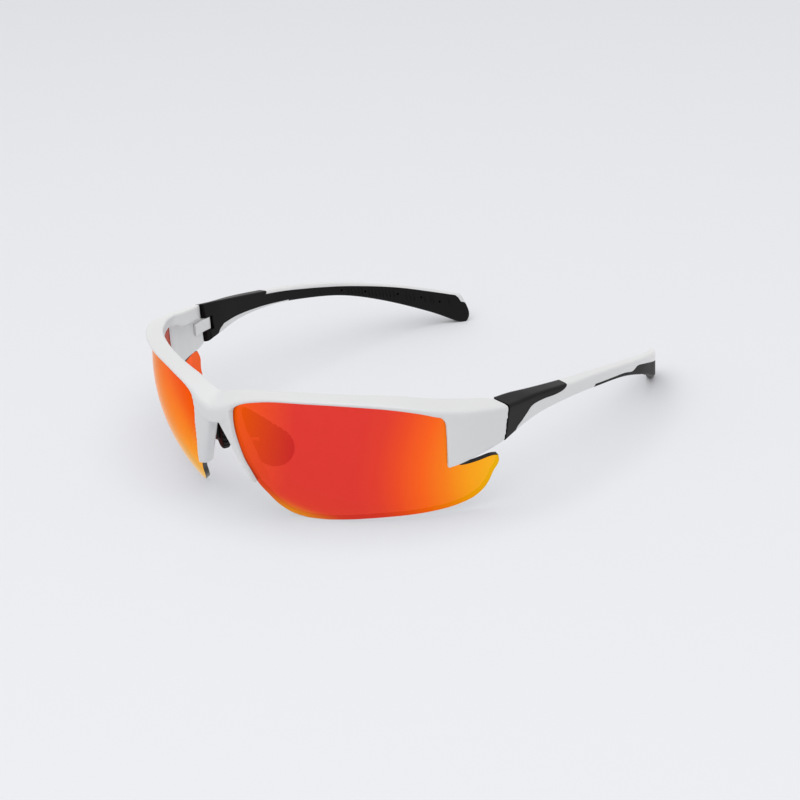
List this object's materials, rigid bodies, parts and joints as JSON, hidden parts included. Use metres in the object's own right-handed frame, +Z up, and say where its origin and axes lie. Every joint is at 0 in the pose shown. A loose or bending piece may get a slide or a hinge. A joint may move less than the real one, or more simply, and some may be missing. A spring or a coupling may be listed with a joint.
{
  "type": "wraparound sport sunglasses",
  "caption": "Half-rim wraparound sport sunglasses: white frame, red mirrored curved lenses, black and white folding temples with rubber tips, adjustable rubber nose pads.",
  "frame": {"origin": "on the surface the sunglasses stand on, under the middle of their bounding box", "axes": "+X towards the wearer's left, -Y forwards, where the wearer looks, +Z up"},
  "size_m": [0.143, 0.1612, 0.0447],
  "materials": {
    "white_frame": "smooth satin-gloss white plastic",
    "black_trim": "fine satin black plastic",
    "soft_rubber": "soft-touch charcoal rubber",
    "mirror_lens": "polished lens with a red mirror coating that turns orange and yellow towards its outer edge",
    "steel": "plain steel"
  },
  "bodies": {
    "frame": {"frame_front": "white_frame", "lens_left": "mirror_lens", "lens_right": "mirror_lens", "nose_pad_wire_left": "steel", "nose_pad_wire_right": "steel", "hinge_tongue_left": "white_frame", "hinge_tongue_right": "white_frame"},
    "nose_pad_left": {"nose_pad_left": "soft_rubber", "nose_pad_carrier_left": "black_trim"},
    "nose_pad_right": {"nose_pad_right": "soft_rubber", "nose_pad_carrier_right": "black_trim"},
    "temple_left": {"temple_core_left": "black_trim", "temple_shell_left": "white_frame", "temple_grip_left": "soft_rubber", "hinge_screw_left": "steel"},
    "temple_right": {"temple_core_right": "black_trim", "temple_shell_right": "white_frame", "temple_grip_right": "soft_rubber", "hinge_screw_right": "steel"}
  },
  "joints": [
    {"name": "temple_left_fold", "type": "hinge", "parent": "frame", "child": "temple_left", "pos_m": [0.067, -0.0224, 0.0283], "axis": [0, 0, 1], "range_deg": [0, 90]},
    {"name": "temple_right_fold", "type": "hinge", "parent": "frame", "child": "temple_right", "pos_m": [-0.067, -0.0224, 0.0283], "axis": [0, 0, -1], "range_deg": [0, 82]},
    {"name": "nose_pad_left_tilt", "type": "hinge", "parent": "frame", "child": "nose_pad_left", "pos_m": [0.0108, -0.0708, 0.0252], "axis": [0, 0, 1], "range_deg": [-6, 6]},
    {"name": "nose_pad_right_tilt", "type": "hinge", "parent": "frame", "child": "nose_pad_right", "pos_m": [-0.0108, -0.0708, 0.0252], "axis": [0, 0, -1], "range_deg": [-6, 6]}
  ]
}
